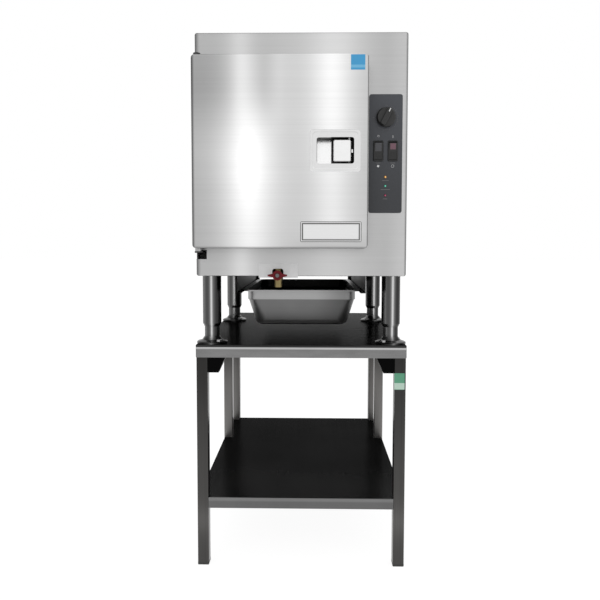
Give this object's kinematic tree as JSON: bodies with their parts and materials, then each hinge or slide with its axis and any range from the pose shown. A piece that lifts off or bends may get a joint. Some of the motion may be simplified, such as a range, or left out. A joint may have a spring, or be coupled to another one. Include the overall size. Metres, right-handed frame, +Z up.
{
  "type": "countertop steamer on stand",
  "caption": "Boxy steel pan steamer on adjustable legs bolted to an open stand; hinged door with recessed paddle latch, timer, rocker switches, drain valve and sliding drain pan.",
  "frame": {"origin": "on the floor plane that the stand's end caps rest on, midway between the two sides, and midway between the handle bezel's front and the stand's rear edge", "axes": "+Z up, -Y towards the user in front of the door, +X to that user's right, where the controls are"},
  "size_m": [0.5645, 0.8336, 1.4065],
  "materials": {
    "stand_steel": "satin",
    "post_steel": "satin",
    "foot_plastic": "matte",
    "leg_steel": "polished",
    "bolt_steel": "satin",
    "body_steel": "satin",
    "liner_steel": "satin",
    "dark_steel": "satin",
    "insulation": "matte",
    "cast_heater": "matte",
    "electrical": "matte",
    "terminal": "matte",
    "panel_paint": "matte",
    "switch_black": "satin",
    "knob_black": "satin",
    "amber": "gloss",
    "green": "gloss",
    "red": "gloss",
    "bushing": "satin",
    "gasket_rubber": "matte",
    "polished_steel": "polished",
    "latch_black": "matte",
    "plate_metal": "satin",
    "pale_plate": "satin",
    "brass": "satin",
    "handle_red": "gloss",
    "pan_steel": "satin",
    "spring_steel": "satin"
  },
  "bodies": {
    "stand": {"stand_top": "stand_steel", "stand_channel": "stand_steel", "stand_shelf": "stand_steel", "stand_posts": "post_steel", "post_gussets": "post_steel", "post_end_caps": "foot_plastic", "leg_feet": "leg_steel", "leg_bolts": "bolt_steel"},
    "cabinet": {"leg_tubes": "leg_steel", "front_frame": "body_steel", "top_cover": "body_steel", "side_panel_left": "body_steel", "side_panel_right": "body_steel", "rear_panel": "body_steel", "base_panel": "body_steel", "cavity_liner": "liner_steel", "pan_racks": "liner_steel", "insulation": "insulation", "heater_plate": "cast_heater", "control_bulkhead": "body_steel", "contactor": "electrical", "terminal_block": "terminal", "pan_slides": "dark_steel", "control_panel": "panel_paint", "timer_body": "electrical", "switch_frames": "switch_black", "hinge_brackets": "dark_steel", "hinge_pins": "bolt_steel", "latch_strike": "bolt_steel", "drain_pipe": "brass", "drain_valve_body": "brass", "valve_plate": "pale_plate", "water_inlet": "brass", "supply_gland": "electrical", "steam_vent": "liner_steel", "cover_screws": "bolt_steel", "lamp_amber": "amber", "lamp_green": "green", "lamp_red": "red"},
    "door": {"hinge_bushes": "bushing", "door_shell": "body_steel", "door_core": "insulation", "door_liner": "liner_steel", "door_gasket": "gasket_rubber", "handle_bezel": "polished_steel", "latch_housing": "latch_black", "latch_pins": "bolt_steel", "paddle_spring": "spring_steel", "handle_cup": "polished_steel", "badge_plate": "plate_metal"},
    "paddle": {"handle_paddle": "polished_steel"},
    "latch_hook": {"latch_hook": "spring_steel"},
    "knob": {"timer_shaft": "bolt_steel", "timer_knob": "knob_black"},
    "rocker_left": {"rocker_left": "switch_black"},
    "rocker_right": {"rocker_right": "switch_black"},
    "valve": {"valve_stem": "bolt_steel", "valve_handle": "handle_red"},
    "pan": {"drain_pan": "pan_steel"}
  },
  "joints": [
    {"name": "levelling", "type": "slide", "parent": "stand", "child": "cabinet", "axis": [0, 0, 1], "range_m": [-0.02, 0.025]},
    {"name": "door_hinge", "type": "hinge", "parent": "cabinet", "child": "door", "pos_m": [-0.262, -0.3875, 1.097], "axis": [0, 0, -1], "range_deg": [0, 120]},
    {"name": "paddle_pivot", "type": "hinge", "parent": "door", "child": "paddle", "pos_m": [0.1211, -0.40525, 1.0995], "axis": [0, 0, 1], "range_deg": [0, 25], "stiffness_Nm_per_rad": 1.2, "springref_deg": -8.59},
    {"name": "hook_pivot", "type": "hinge", "parent": "door", "child": "latch_hook", "pos_m": [0.1521, -0.38725, 1.0995], "axis": [0, 0, 1], "range_deg": [-10, 0]},
    {"name": "timer_turn", "type": "hinge", "parent": "cabinet", "child": "knob", "pos_m": [0.21675, -0.35725, 1.191], "axis": [0, 1, 0], "range_deg": [-27, 273]},
    {"name": "rocker_left_tilt", "type": "hinge", "parent": "cabinet", "child": "rocker_left", "pos_m": [0, -0.35425, 1.1063], "axis": [1, 0, 0], "range_deg": [-14, 0]},
    {"name": "rocker_right_tilt", "type": "hinge", "parent": "cabinet", "child": "rocker_right", "pos_m": [0, -0.35425, 1.1063], "axis": [1, 0, 0], "range_deg": [-14, 0]},
    {"name": "valve_turn", "type": "hinge", "parent": "cabinet", "child": "valve", "pos_m": [-0.06, -0.33325, 0.787], "axis": [0, 1, 0], "range_deg": [0, 90]},
    {"name": "pan_slide", "type": "slide", "parent": "cabinet", "child": "pan", "axis": [0, -1, 0], "range_m": [0, 0.42]}
  ],
  "couplings": [
    {"joint": "hook_pivot", "follows": "paddle_pivot", "ratio": -0.4}
  ]
}
